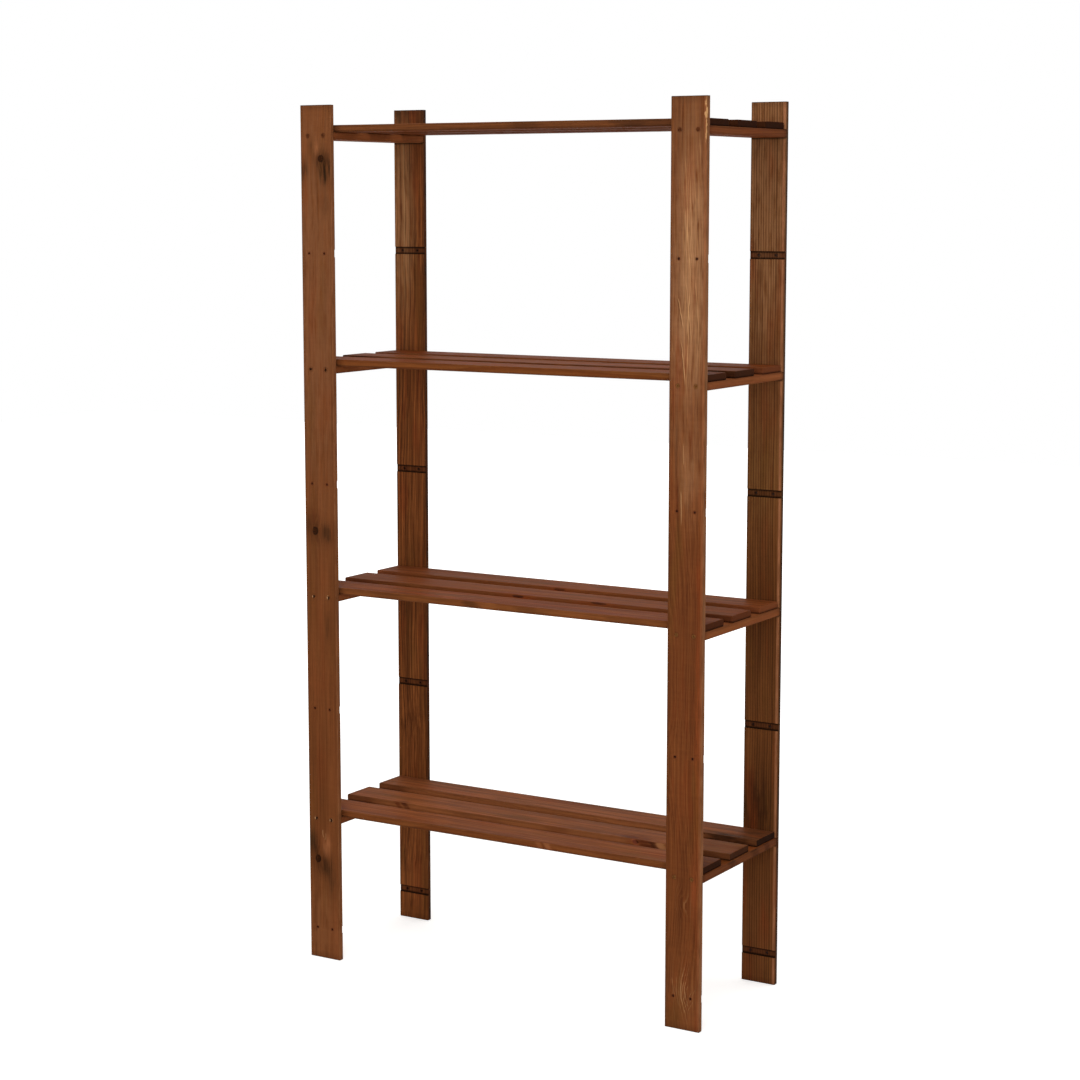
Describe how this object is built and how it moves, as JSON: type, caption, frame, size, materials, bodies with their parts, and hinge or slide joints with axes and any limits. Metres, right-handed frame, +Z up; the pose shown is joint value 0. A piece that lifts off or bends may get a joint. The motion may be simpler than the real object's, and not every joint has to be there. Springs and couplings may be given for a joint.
{
  "type": "slatted shelving unit",
  "caption": "Free-standing slatted wood shelving unit: flat uprights with grooved inner faces carry open slatted shelves on end battens, all held by screws.",
  "frame": {"origin": "on the floor under the middle of the unit", "axes": "+Z up, +X to the right seen from the front, +Y from the front to the back"},
  "size_m": [0.86, 0.32, 1.65],
  "materials": {
    "post_pine": "brown-stained pine, satin, grain upright",
    "batten_pine": "brown-stained pine, satin, grain from front to back",
    "slat_pine": "brown-stained pine, satin, grain from side to side",
    "screw_steel": "bronze-toned plated steel"
  },
  "bodies": {
    "root": {"post_front_left": "post_pine", "post_front_right": "post_pine", "post_rear_left": "post_pine", "post_rear_right": "post_pine", "shelf_1_batten_left": "batten_pine", "shelf_1_batten_right": "batten_pine", "shelf_1_slat_front": "slat_pine", "shelf_1_slat_middle": "slat_pine", "shelf_1_slat_rear": "slat_pine", "shelf_1_post_screws": "screw_steel", "shelf_1_slat_screws": "screw_steel", "shelf_2_batten_left": "batten_pine", "shelf_2_batten_right": "batten_pine", "shelf_2_slat_front": "slat_pine", "shelf_2_slat_middle": "slat_pine", "shelf_2_slat_rear": "slat_pine", "shelf_2_post_screws": "screw_steel", "shelf_2_slat_screws": "screw_steel", "shelf_3_batten_left": "batten_pine", "shelf_3_batten_right": "batten_pine", "shelf_3_slat_front": "slat_pine", "shelf_3_slat_middle": "slat_pine", "shelf_3_slat_rear": "slat_pine", "shelf_3_post_screws": "screw_steel", "shelf_3_slat_screws": "screw_steel", "shelf_4_batten_left": "batten_pine", "shelf_4_batten_right": "batten_pine", "shelf_4_slat_front": "slat_pine", "shelf_4_slat_middle": "slat_pine", "shelf_4_slat_rear": "slat_pine", "shelf_4_post_screws": "screw_steel", "shelf_4_slat_screws": "screw_steel"}
  },
  "joints": []
}
